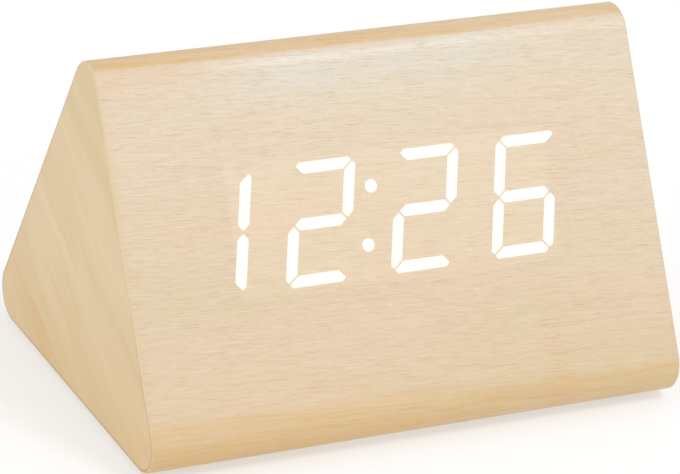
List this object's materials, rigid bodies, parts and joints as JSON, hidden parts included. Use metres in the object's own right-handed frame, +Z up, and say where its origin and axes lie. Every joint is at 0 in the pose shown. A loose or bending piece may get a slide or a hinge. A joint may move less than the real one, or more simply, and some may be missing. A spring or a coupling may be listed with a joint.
{
  "type": "digital desk clock",
  "caption": "Triangular prism desk clock in pale wood-grain film with a glowing seven-segment time, push buttons and power socket at the back and a battery bay below.",
  "frame": {"origin": "middle of the case in length and depth, on the plane that the feet stand on", "axes": "+X along the case to the right as the time is read, +Y from the display to the back, +Z up"},
  "size_m": [0.12, 0.0826, 0.0744],
  "materials": {
    "wood_grain_film": "satin",
    "fibreboard": "matte",
    "reflector_plastic": "matte",
    "lit_segment": "satin",
    "unlit_segment": "satin",
    "circuit_board": "satin",
    "led_chip": "gloss",
    "zinc_steel": "satin",
    "header_plastic": "satin",
    "ribbon_plastic": "satin",
    "black_plastic": "satin",
    "button_plastic": "satin",
    "plunger_plastic": "satin",
    "chip_plastic": "matte",
    "can_metal": "satin",
    "capacitor_sleeve": "gloss",
    "bead_resin": "gloss",
    "cell_jacket": "gloss",
    "nickel_steel": "polished",
    "red_insulation": "satin",
    "black_insulation": "satin",
    "black_rubber": "matte"
  },
  "bodies": {
    "case": {"case_body": "fibreboard", "wood_film": "wood_grain_film", "end_cap_left": "fibreboard", "end_cap_right": "fibreboard", "end_film_left": "wood_grain_film", "end_film_right": "wood_grain_film", "display_housing": "reflector_plastic", "hour_tens": "lit_segment", "hour_units": "lit_segment", "colon": "lit_segment", "minute_tens": "lit_segment", "minute_units": "lit_segment", "unlit_guides": "unlit_segment", "display_board": "circuit_board", "led_chips": "led_chip", "display_screws": "zinc_steel", "display_header": "header_plastic", "ribbon_cable": "ribbon_plastic", "control_plate": "black_plastic", "plate_screws": "zinc_steel", "set_switch": "chip_plastic", "up_switch": "chip_plastic", "down_switch": "chip_plastic", "power_socket": "black_plastic", "socket_pin": "nickel_steel", "main_board": "circuit_board", "board_spacers": "header_plastic", "board_screws": "zinc_steel", "controller_chip": "chip_plastic", "crystal": "can_metal", "capacitor": "capacitor_sleeve", "thermistor": "bead_resin", "coin_holder": "chip_plastic", "coin_cell": "can_metal", "sounder": "chip_plastic", "microphone": "can_metal", "board_header": "header_plastic", "battery_tray": "black_plastic", "tray_screws": "zinc_steel", "aaa_cell_1": "cell_jacket", "aaa_cell_2": "cell_jacket", "aaa_cell_3": "cell_jacket", "aaa_cell_4": "cell_jacket", "battery_springs": "nickel_steel", "battery_contacts": "nickel_steel", "battery_lead_red": "red_insulation", "battery_lead_black": "black_insulation", "rubber_feet": "black_rubber"},
    "battery_door_body": {"battery_door": "black_plastic"},
    "set_key": {"set_button": "button_plastic", "set_plunger": "plunger_plastic"},
    "up_key": {"up_button": "button_plastic", "up_plunger": "plunger_plastic"},
    "down_key": {"down_button": "button_plastic", "down_plunger": "plunger_plastic"}
  },
  "joints": [
    {"name": "battery_door_hinge", "type": "hinge", "parent": "case", "child": "battery_door_body", "pos_m": [0, -0.02305, 0.0021], "axis": [-1, 0, 0], "range_deg": [0, 90]},
    {"name": "set_button_press", "type": "slide", "parent": "case", "child": "set_key", "axis": [0, -0.866, -0.5], "range_m": [0, 0.0003], "stiffness_N_per_m": 2000, "springref_m": -0.0004},
    {"name": "up_button_press", "type": "slide", "parent": "case", "child": "up_key", "axis": [0, -0.866, -0.5], "range_m": [0, 0.0003], "stiffness_N_per_m": 2000, "springref_m": -0.0004},
    {"name": "down_button_press", "type": "slide", "parent": "case", "child": "down_key", "axis": [0, -0.866, -0.5], "range_m": [0, 0.0003], "stiffness_N_per_m": 2000, "springref_m": -0.0004}
  ]
}
